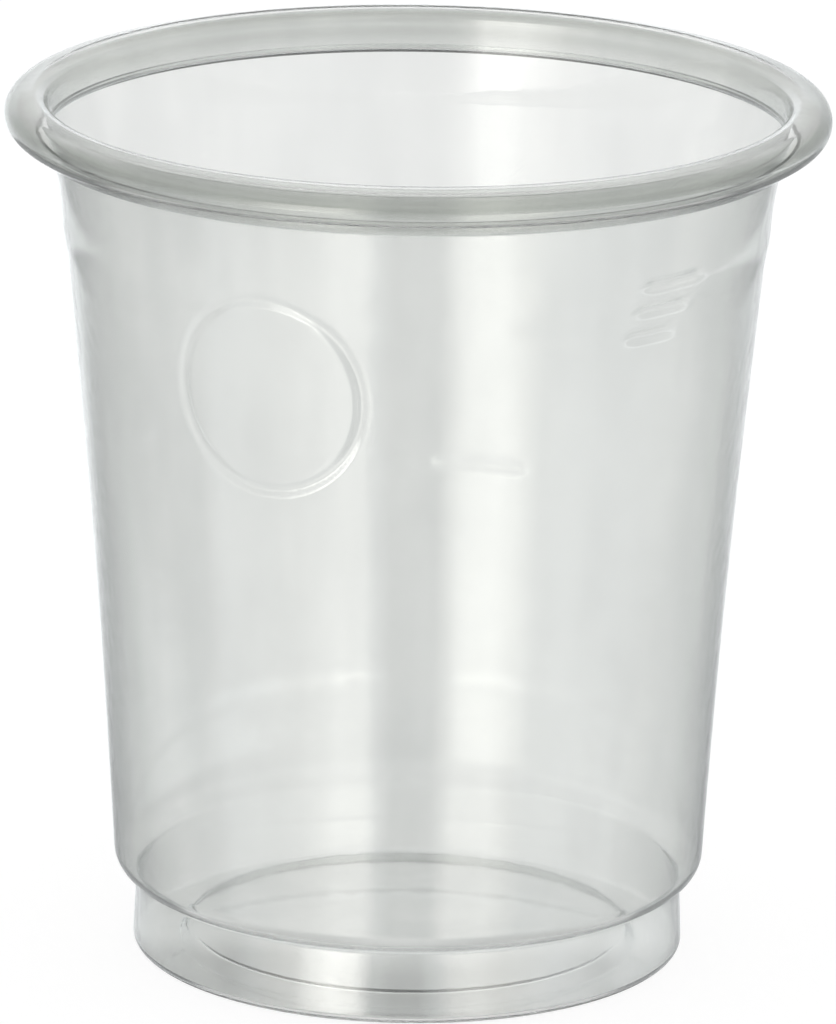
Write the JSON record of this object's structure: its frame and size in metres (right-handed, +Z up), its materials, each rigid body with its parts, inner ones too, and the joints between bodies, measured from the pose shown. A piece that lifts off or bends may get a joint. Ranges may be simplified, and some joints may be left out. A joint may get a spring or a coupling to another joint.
{
  "type": "disposable cup",
  "caption": "Clear tapered drinking cup with a rolled rim, a small collar, a rounded stacking shoulder and a recessed base.",
  "frame": {"origin": "centre of the circle that the standing ring rests on", "axes": "+Z up the cup's axis, from the base to the open rim"},
  "size_m": [0.078, 0.078, 0.0837],
  "materials": {
    "clear_plastic": "clear thin-walled plastic, glossy, faintly hazy from handling"
  },
  "bodies": {
    "root": {"cup": "clear_plastic"}
  },
  "joints": []
}
